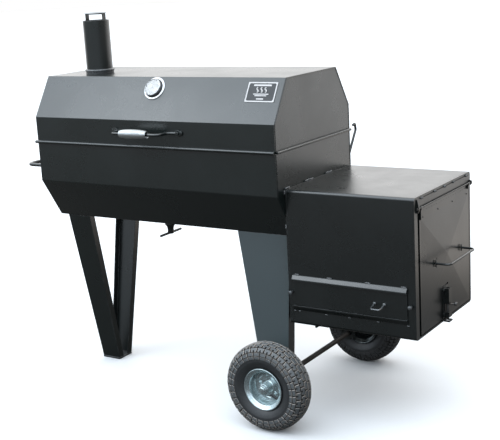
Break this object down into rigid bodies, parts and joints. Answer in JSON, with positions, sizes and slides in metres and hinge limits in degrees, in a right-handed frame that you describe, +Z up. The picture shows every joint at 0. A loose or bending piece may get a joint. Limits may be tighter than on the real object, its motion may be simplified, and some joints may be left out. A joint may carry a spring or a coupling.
{
  "type": "offset smoker",
  "caption": "Offset smoker with a hinged chamber lid and chimney, a side firebox with a hinged door and ash drawer, a V-shaped stand and wheels on an axle.",
  "frame": {"origin": "on the ground under the middle of the bounding box", "axes": "+X towards the firebox end, +Y to the back (hinge side), +Z up; the cook stands on the -Y side"},
  "size_m": [1.4732, 0.71, 1.2138],
  "materials": {
    "black_paint": "semi-gloss black enamel, lightly dusty",
    "firebox_paint": "satin black high-heat paint",
    "dark_steel": "dark bare steel, blued and slightly oiled",
    "stainless": "brushed stainless",
    "zinc": "bright zinc-plated pressed steel",
    "spring_steel": "nickel-plated wire",
    "tyre_rubber": "black rubber with dusty tread blocks",
    "gauge_glass": "clear flat lens",
    "badge": "enamelled plate"
  },
  "bodies": {
    "chassis": {"body_shell": "black_paint", "body_end_left": "black_paint", "body_end_right": "black_paint", "baffle_plate": "dark_steel", "grate_rail_front": "dark_steel", "grate_rail_back": "dark_steel", "cooking_grate": "dark_steel", "lift_handle": "black_paint", "drain_coupling": "dark_steel", "hinge_leaf_body_left": "black_paint", "hinge_leaf_body_right": "black_paint", "lid_stop_left": "black_paint", "lid_stop_right": "black_paint", "left_leg_front": "black_paint", "left_leg_back": "black_paint", "foot_plate": "black_paint", "right_leg_front": "black_paint", "right_leg_back": "black_paint", "axle": "black_paint", "front_axle_cap": "zinc", "rear_axle_cap": "zinc", "firebox_shell": "firebox_paint", "firebox_left_wall": "firebox_paint", "charcoal_grate": "dark_steel", "firebox_frame": "firebox_paint", "door_hinge_pin": "dark_steel", "latch_keeper": "firebox_paint", "drawer_rail_upper": "firebox_paint", "drawer_rail_lower": "firebox_paint"},
    "lid": {"lid_shell": "black_paint", "lid_end_left": "black_paint", "lid_end_right": "black_paint", "lid_edge_bar": "black_paint", "chimney_pipe": "black_paint", "chimney_collar": "black_paint", "cap_strap": "black_paint", "chimney_cap": "stainless", "gauge_flange": "stainless", "gauge_case": "stainless", "gauge_lens": "gauge_glass", "badge_plate": "badge", "lid_handle": "black_paint", "hinge_leaf_lid_left": "black_paint", "hinge_leaf_lid_right": "black_paint"},
    "lid_grip": {"lid_grip": "spring_steel"},
    "front_wheel": {"front_tyre": "tyre_rubber", "front_rim": "zinc", "front_valve": "tyre_rubber"},
    "rear_wheel": {"rear_tyre": "tyre_rubber", "rear_rim": "zinc", "rear_valve": "tyre_rubber"},
    "firebox_door": {"firebox_door": "firebox_paint", "door_handle": "firebox_paint", "latch_barrel": "firebox_paint"},
    "latch_bolt": {"latch_bolt": "dark_steel"},
    "ash_drawer": {"ash_drawer": "firebox_paint", "drawer_pull": "firebox_paint"},
    "side_screw_left": {"side_screw_left": "dark_steel"},
    "side_screw_right": {"side_screw_right": "dark_steel"},
    "drain_plug": {"drain_plug": "dark_steel"}
  },
  "joints": [
    {"name": "lid_hinge", "type": "hinge", "parent": "chassis", "child": "lid", "pos_m": [-0.1784, 0.238, 0.8], "axis": [-1, 0, 0], "range_deg": [0, 65]},
    {"name": "lid_grip_spin", "type": "hinge", "parent": "lid", "child": "lid_grip", "pos_m": [-0.1906, -0.2786, 0.853], "axis": [1, 0, 0], "continuous": true},
    {"name": "front_wheel_spin", "type": "hinge", "parent": "chassis", "child": "front_wheel", "pos_m": [0.2684, -0.312, 0.133], "axis": [0, 1, 0], "continuous": true},
    {"name": "rear_wheel_spin", "type": "hinge", "parent": "chassis", "child": "rear_wheel", "pos_m": [0.2684, 0.312, 0.133], "axis": [0, 1, 0], "continuous": true},
    {"name": "firebox_door_hinge", "type": "hinge", "parent": "chassis", "child": "firebox_door", "pos_m": [0.6888, 0.0132, 0.662], "axis": [0, -1, 0], "range_deg": [0, 110]},
    {"name": "latch_bolt_slide", "type": "slide", "parent": "firebox_door", "child": "latch_bolt", "axis": [0, 0, -1], "range_m": [0, 0.018]},
    {"name": "ash_drawer_slide", "type": "slide", "parent": "chassis", "child": "ash_drawer", "axis": [0, -1, 0], "range_m": [0, 0.3]},
    {"name": "side_screw_left_turn", "type": "hinge", "parent": "chassis", "child": "side_screw_left", "pos_m": [0.2904, -0.195, 0.388], "axis": [0, -1, 0], "continuous": true},
    {"name": "side_screw_right_turn", "type": "hinge", "parent": "chassis", "child": "side_screw_right", "pos_m": [0.6714, -0.195, 0.388], "axis": [0, -1, 0], "continuous": true},
    {"name": "drain_plug_turn", "type": "hinge", "parent": "chassis", "child": "drain_plug", "pos_m": [-0.2906, 0, 0.5], "axis": [0, 0, -1], "continuous": true}
  ]
}
